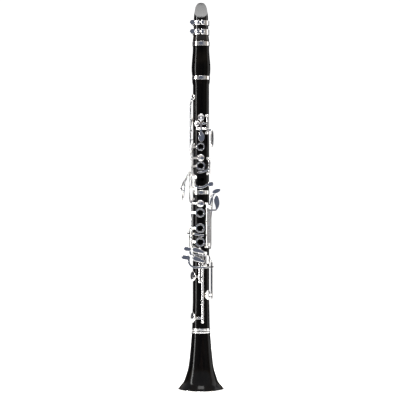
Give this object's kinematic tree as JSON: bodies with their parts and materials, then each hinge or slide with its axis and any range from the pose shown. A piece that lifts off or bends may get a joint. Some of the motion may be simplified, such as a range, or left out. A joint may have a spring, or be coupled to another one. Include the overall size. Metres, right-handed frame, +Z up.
{
  "type": "clarinet",
  "caption": "Black wooden clarinet standing on its bell: mouthpiece with reed and ligature, barrel, two keyed joints, silver rings, levers and pad cups that press, and a flared bell.",
  "frame": {"origin": "centre of the bell's lower rim, on the bore's axis", "axes": "+Z up the bore towards the mouthpiece; the finger holes face -Y and the thumb hole and reed face +Y"},
  "size_m": [0.0792, 0.0792, 0.667],
  "materials": {
    "blackwood": "polished near-black wood",
    "ebonite": "polished hard rubber",
    "silver_plate": "bright silver plate",
    "steel": "polished blued steel",
    "cork": "sanded cork",
    "cane": "satin cane",
    "pad_skin": "matt pad skin"
  },
  "bodies": {
    "root": {"bell": "blackwood", "bell_rim_ring": "silver_plate", "bell_socket_ring": "silver_plate", "hinge_rods": "steel", "lower_joint": "blackwood", "lower_joint_ring": "silver_plate", "lower_posts": "silver_plate", "register_tube": "silver_plate", "tenon_corks": "cork", "thumb_rest": "silver_plate", "thumb_rest_screws": "steel", "thumb_tube": "silver_plate", "upper_joint": "blackwood", "upper_posts": "silver_plate"},
    "barrel": {"barrel": "blackwood", "barrel_rings": "silver_plate"},
    "mouthpiece": {"mouthpiece": "ebonite", "mouthpiece_cork": "cork", "reed": "cane", "ligature": "silver_plate"},
    "ligature_screw_upper": {"ligature_screw_upper": "silver_plate"},
    "ligature_screw_lower": {"ligature_screw_lower": "silver_plate"},
    "a_flat_key": {"a_flat_key": "silver_plate", "a_flat_pad": "pad_skin"},
    "c_sharp_key": {"c_sharp_key": "silver_plate", "c_sharp_pad": "pad_skin"},
    "e_key": {"e_key": "silver_plate", "e_pad": "pad_skin"},
    "f_key": {"f_key": "silver_plate", "f_pad": "pad_skin"},
    "f_sharp_key": {"f_sharp_key": "silver_plate", "f_sharp_pad": "pad_skin"},
    "first_ring_key": {"first_ring_key": "silver_plate", "first_ring_pad": "pad_skin"},
    "left_e_lever": {"left_e_lever": "silver_plate"},
    "left_f_lever": {"left_f_lever": "silver_plate"},
    "left_f_sharp_lever": {"left_f_sharp_lever": "silver_plate"},
    "lower_sliver_key": {"lower_sliver_key": "silver_plate", "lower_sliver_pad": "pad_skin"},
    "register_key": {"register_key": "silver_plate", "register_pad": "pad_skin"},
    "right_ring_key": {"right_ring_key": "silver_plate", "right_ring_pad": "pad_skin"},
    "second_ring_key": {"second_ring_key": "silver_plate"},
    "throat_a_key": {"throat_a_key": "silver_plate", "throat_a_pad": "pad_skin"},
    "throat_g_sharp_key": {"throat_g_sharp_key": "silver_plate", "throat_g_sharp_pad": "pad_skin"},
    "thumb_ring_key": {"thumb_ring_key": "silver_plate"},
    "trill_key_1": {"trill_key_1": "silver_plate", "trill_pad_1": "pad_skin"},
    "trill_key_2": {"trill_key_2": "silver_plate", "trill_pad_2": "pad_skin"},
    "trill_key_3": {"trill_key_3": "silver_plate", "trill_pad_3": "pad_skin"},
    "trill_key_4": {"trill_key_4": "silver_plate", "trill_pad_4": "pad_skin"},
    "upper_sliver_key": {"upper_sliver_key": "silver_plate", "upper_sliver_pad": "pad_skin"}
  },
  "joints": [
    {"name": "first_ring_press", "type": "hinge", "parent": "root", "child": "first_ring_key", "pos_m": [-0.0162, -0.01, 0.4177], "axis": [0, 0, 1], "range_deg": [0, 4.5], "stiffness_Nm_per_rad": 0.04, "springref_deg": -8},
    {"name": "second_ring_press", "type": "hinge", "parent": "root", "child": "second_ring_key", "pos_m": [-0.0162, -0.01, 0.3851], "axis": [0, 0, 1], "range_deg": [0, 4.5], "stiffness_Nm_per_rad": 0.04, "springref_deg": -8},
    {"name": "thumb_ring_press", "type": "hinge", "parent": "root", "child": "thumb_ring_key", "pos_m": [0.0122, 0.0148, 0.412], "axis": [0, 0, 1], "range_deg": [0, 4.5], "stiffness_Nm_per_rad": 0.04, "springref_deg": -8},
    {"name": "right_ring_press", "type": "hinge", "parent": "root", "child": "right_ring_key", "pos_m": [-0.0162, -0.01, 0.285], "axis": [0, 0, 1], "range_deg": [0, 4.5], "stiffness_Nm_per_rad": 0.06, "springref_deg": -8},
    {"name": "throat_g_sharp_press", "type": "hinge", "parent": "root", "child": "throat_g_sharp_key", "pos_m": [0.0109, -0.0146, 0.457], "axis": [0, 0, 1], "range_deg": [0, 4.5], "stiffness_Nm_per_rad": 0.04, "springref_deg": -10},
    {"name": "upper_sliver_press", "type": "hinge", "parent": "root", "child": "upper_sliver_key", "pos_m": [0.0142, -0.0124, 0.385], "axis": [0, 0, -1], "range_deg": [0, 6], "stiffness_Nm_per_rad": 0.04, "springref_deg": -10},
    {"name": "c_sharp_press", "type": "hinge", "parent": "root", "child": "c_sharp_key", "pos_m": [-0.0112, -0.0146, 0.356], "axis": [0, 0, 1], "range_deg": [0, 5], "stiffness_Nm_per_rad": 0.04, "springref_deg": -10},
    {"name": "lower_sliver_press", "type": "hinge", "parent": "root", "child": "lower_sliver_key", "pos_m": [-0.02, -0.0025, 0.262], "axis": [0, 0, 1], "range_deg": [0, 4.5], "stiffness_Nm_per_rad": 0.06, "springref_deg": -10},
    {"name": "a_flat_press", "type": "hinge", "parent": "root", "child": "a_flat_key", "pos_m": [0.0082, -0.0172, 0.226], "axis": [0, 0, -1], "range_deg": [0, 7], "stiffness_Nm_per_rad": 0.06, "springref_deg": -10},
    {"name": "f_sharp_press", "type": "hinge", "parent": "root", "child": "f_sharp_key", "pos_m": [-0.0024, -0.0188, 0.215], "axis": [0, 0, -1], "range_deg": [0, 6.4], "stiffness_Nm_per_rad": 0.06, "springref_deg": -10},
    {"name": "e_press", "type": "hinge", "parent": "root", "child": "e_key", "pos_m": [0.0027, -0.0188, 0.175], "axis": [0, 0, -1], "range_deg": [0, 5.9], "stiffness_Nm_per_rad": 0.08, "springref_deg": -10},
    {"name": "f_press", "type": "hinge", "parent": "root", "child": "f_key", "pos_m": [0.0186, 0.0025, 0.19], "axis": [0, 0, -1], "range_deg": [0, 4.4], "stiffness_Nm_per_rad": 0.08, "springref_deg": -10},
    {"name": "left_f_sharp_press", "type": "hinge", "parent": "root", "child": "left_f_sharp_lever", "pos_m": [0.0104, -0.016, 0.284], "axis": [0, 0, 1], "range_deg": [0, 6], "stiffness_Nm_per_rad": 0.06, "springref_deg": -10},
    {"name": "left_e_press", "type": "hinge", "parent": "root", "child": "left_e_lever", "pos_m": [0.0139, -0.0132, 0.282], "axis": [0, 0, 1], "range_deg": [0, 6], "stiffness_Nm_per_rad": 0.06, "springref_deg": -10},
    {"name": "trill_1_press", "type": "hinge", "parent": "root", "child": "trill_key_1", "pos_m": [-0.01572, -0.00392, 0.446], "axis": [0.2419, -0.9703, 0], "range_deg": [0, 2.4], "stiffness_Nm_per_rad": 0.35, "springref_deg": -6},
    {"name": "trill_2_press", "type": "hinge", "parent": "root", "child": "trill_key_2", "pos_m": [-0.01619, 0.00056, 0.43], "axis": [-0.0349, -0.9994, 0], "range_deg": [0, 3.2], "stiffness_Nm_per_rad": 0.2, "springref_deg": -6},
    {"name": "trill_3_press", "type": "hinge", "parent": "root", "child": "trill_key_3", "pos_m": [-0.01541, 0.00501, 0.382], "axis": [-0.309, -0.9511, 0], "range_deg": [0, 4], "stiffness_Nm_per_rad": 0.08, "springref_deg": -6},
    {"name": "trill_4_press", "type": "hinge", "parent": "root", "child": "trill_key_4", "pos_m": [-0.01343, 0.00906, 0.369], "axis": [-0.5592, -0.829, 0], "range_deg": [0, 5], "stiffness_Nm_per_rad": 0.05, "springref_deg": -6},
    {"name": "register_press", "type": "hinge", "parent": "root", "child": "register_key", "pos_m": [0, 0.0162, 0.452], "axis": [-1, 0, 0], "range_deg": [0, 2.6], "stiffness_Nm_per_rad": 0.1, "springref_deg": -6},
    {"name": "left_f_press", "type": "hinge", "parent": "root", "child": "left_f_lever", "pos_m": [0.0143, -0.0076, 0.28], "axis": [0.4695, 0.8829, 0], "range_deg": [0, 2.4], "stiffness_Nm_per_rad": 0.2, "springref_deg": -6},
    {"name": "throat_a_press", "type": "hinge", "parent": "root", "child": "throat_a_key", "pos_m": [0, -0.0172, 0.4486], "axis": [1, 0, 0], "range_deg": [0, 6], "stiffness_Nm_per_rad": 0.05, "springref_deg": -10},
    {"name": "barrel_pull", "type": "slide", "parent": "root", "child": "barrel", "axis": [0, 0, 1], "range_m": [0, 0.003]},
    {"name": "mouthpiece_turn", "type": "hinge", "parent": "barrel", "child": "mouthpiece", "pos_m": [0, 0, 0.59], "axis": [0, 0, 1], "range_deg": [-15, 15]},
    {"name": "ligature_screw_upper_turn", "type": "hinge", "parent": "mouthpiece", "child": "ligature_screw_upper", "pos_m": [-0.014, -0.0164, 0.6302], "axis": [1, 0, 0], "continuous": true},
    {"name": "ligature_screw_lower_turn", "type": "hinge", "parent": "mouthpiece", "child": "ligature_screw_lower", "pos_m": [-0.014, -0.0164, 0.6145], "axis": [1, 0, 0], "continuous": true}
  ],
  "couplings": [
    {"joint": "thumb_ring_press", "follows": "first_ring_press", "ratio": 1},
    {"joint": "second_ring_press", "follows": "right_ring_press", "ratio": 1},
    {"joint": "left_e_press", "follows": "e_press", "ratio": 1},
    {"joint": "left_f_sharp_press", "follows": "f_sharp_press", "ratio": 0.9},
    {"joint": "left_f_press", "follows": "f_press", "ratio": 0.5}
  ]
}
